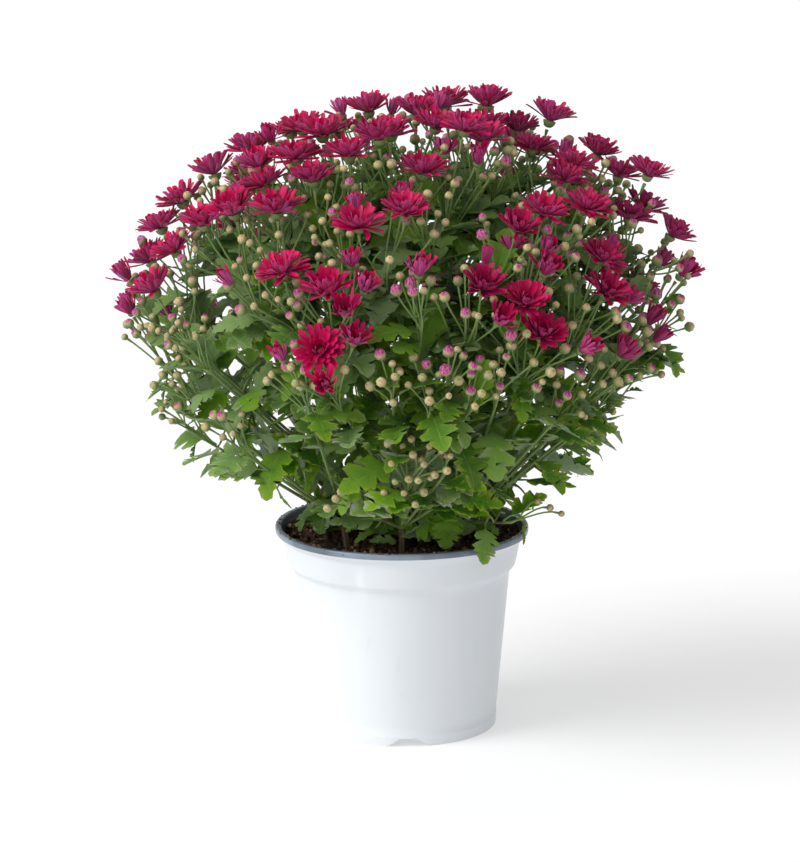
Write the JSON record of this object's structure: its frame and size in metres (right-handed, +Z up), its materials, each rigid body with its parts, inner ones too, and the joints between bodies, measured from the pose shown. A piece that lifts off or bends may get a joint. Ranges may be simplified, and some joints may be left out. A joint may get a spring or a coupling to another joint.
{
  "type": "potted chrysanthemum",
  "caption": "Bushy flowering chrysanthemum with crimson double blooms, buds and lobed leaves, in a round white plastic nursery pot with a rolled rim, filled with soil.",
  "frame": {"origin": "middle of the pot's foot ring, on the surface that the pot stands on", "axes": "+Z up along the pot's axis, -Y towards the viewer of the picture, +X to that viewer's right"},
  "size_m": [0.4343, 0.4131, 0.4716],
  "materials": {
    "pot": "satin moulded plastic, white",
    "soil": "moist crumbly potting soil, dark brown",
    "foliage": "matte leaves and stems, mid green",
    "petals": "velvety petals, crimson with magenta backs"
  },
  "bodies": {
    "root": {"pot": "pot", "soil": "soil", "leafy_shoot_00": "foliage", "leafy_shoot_01": "foliage", "leafy_shoot_02": "foliage", "leafy_shoot_03": "foliage", "leafy_shoot_04": "foliage", "leafy_shoot_05": "foliage", "leafy_shoot_06": "foliage", "leafy_shoot_07": "foliage", "leafy_shoot_08": "foliage", "leafy_shoot_09": "foliage", "leafy_shoot_10": "foliage", "leafy_shoot_11": "foliage", "leafy_shoot_12": "foliage", "leafy_shoot_13": "foliage", "bloom_00": "petals", "bloom_01": "petals", "bloom_02": "petals", "bloom_03": "petals", "bloom_04": "petals", "bloom_05": "petals", "bloom_06": "petals", "bloom_07": "petals", "bloom_08": "petals", "bloom_09": "petals", "bloom_10": "petals", "bloom_11": "petals", "bloom_12": "petals", "bloom_13": "petals", "bloom_14": "petals", "bloom_15": "petals", "bloom_16": "petals", "bloom_17": "petals", "bloom_18": "petals", "bloom_19": "petals", "bloom_20": "petals", "bloom_21": "petals", "bloom_22": "petals", "bloom_23": "petals", "bloom_24": "petals", "bloom_25": "petals", "bloom_26": "petals", "bloom_27": "petals", "bloom_28": "petals", "bloom_29": "petals", "bloom_30": "petals", "bloom_31": "petals", "bloom_32": "petals", "bloom_33": "petals", "bloom_34": "petals", "bloom_35": "petals", "bloom_36": "petals", "bloom_37": "petals", "bloom_38": "petals", "bloom_39": "petals", "bloom_40": "petals", "bloom_41": "petals", "bloom_42": "petals"}
  },
  "joints": []
}
